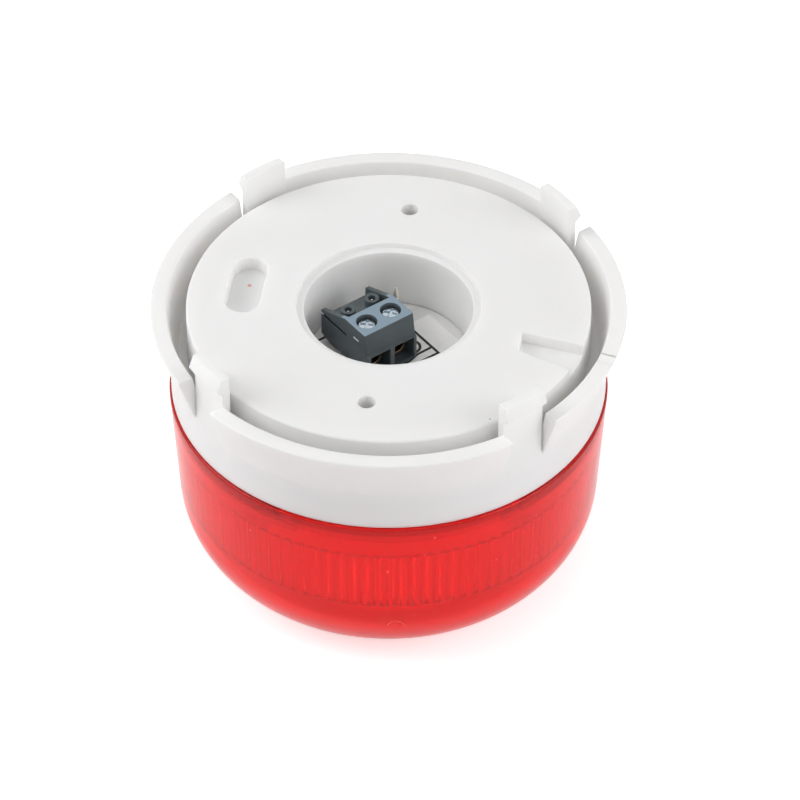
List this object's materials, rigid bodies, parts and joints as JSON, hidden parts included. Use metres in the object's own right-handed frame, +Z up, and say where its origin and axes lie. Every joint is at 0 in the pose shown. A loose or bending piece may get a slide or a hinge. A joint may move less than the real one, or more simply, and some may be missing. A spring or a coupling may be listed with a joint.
{
  "type": "flashing warning beacon",
  "caption": "Round warning beacon with a white base that snaps into a panel, a fluted red lens on a twist fitting and a screw terminal in a central recess.",
  "frame": {"origin": "middle of the lens's flat crown, on the surface that the beacon stands on", "axes": "+Z up from the crown to the base's back face, +Y along the line of the two fixing holes"},
  "size_m": [0.0822, 0.0822, 0.0594],
  "materials": {
    "white_plastic": "satin moulded",
    "red_lens": "clear gloss, translucent",
    "seal_rubber": "matt",
    "board": "lacquered laminate",
    "zinc_steel": "bright zinc plate",
    "led_package": "satin",
    "can_metal": "bright",
    "ferrite": "matt",
    "chip_package": "matt moulded",
    "tinned_metal": "tinned",
    "terminal_plastic": "satin moulded",
    "contact_brass": "plain"
  },
  "bodies": {
    "base": {"base_housing": "white_plastic", "lens_seal": "seal_rubber", "circuit_board": "board", "board_screws": "zinc_steel", "leds": "led_package", "smoothing_capacitor": "can_metal", "power_inductor": "ferrite", "rectifier": "chip_package", "surge_suppressor": "chip_package", "driver_chip": "chip_package", "flash_controller": "chip_package", "chip_resistors": "chip_package", "test_post": "tinned_metal", "terminal_housing": "terminal_plastic", "terminal_contacts": "contact_brass"},
    "lens_cap": {"lens": "red_lens"},
    "screw_1": {"terminal_screw_1": "zinc_steel"},
    "screw_2": {"terminal_screw_2": "zinc_steel"},
    "cage_1": {"terminal_cage_1": "contact_brass"},
    "cage_2": {"terminal_cage_2": "contact_brass"}
  },
  "joints": [
    {"name": "lens_twist", "type": "hinge", "parent": "base", "child": "lens_cap", "pos_m": [0, 0, 0.0366], "axis": [0, 0, -1], "range_deg": [0, 58]},
    {"name": "screw_1_turn", "type": "hinge", "parent": "base", "child": "screw_1", "pos_m": [-0.00338, -0.00296, 0.0505], "axis": [0, 0, -1], "range_deg": [0, 1260]},
    {"name": "screw_2_turn", "type": "hinge", "parent": "base", "child": "screw_2", "pos_m": [0.00022, 0.00064, 0.0505], "axis": [0, 0, -1], "range_deg": [0, 1260]},
    {"name": "cage_1_lift", "type": "slide", "parent": "base", "child": "cage_1", "axis": [0, 0, 1], "range_m": [0, 0.00174]},
    {"name": "cage_2_lift", "type": "slide", "parent": "base", "child": "cage_2", "axis": [0, 0, 1], "range_m": [0, 0.00174]}
  ],
  "couplings": [
    {"joint": "screw_1_turn", "follows": "cage_1_lift", "rad_per_m": 12566},
    {"joint": "screw_2_turn", "follows": "cage_2_lift", "rad_per_m": 12566}
  ]
}
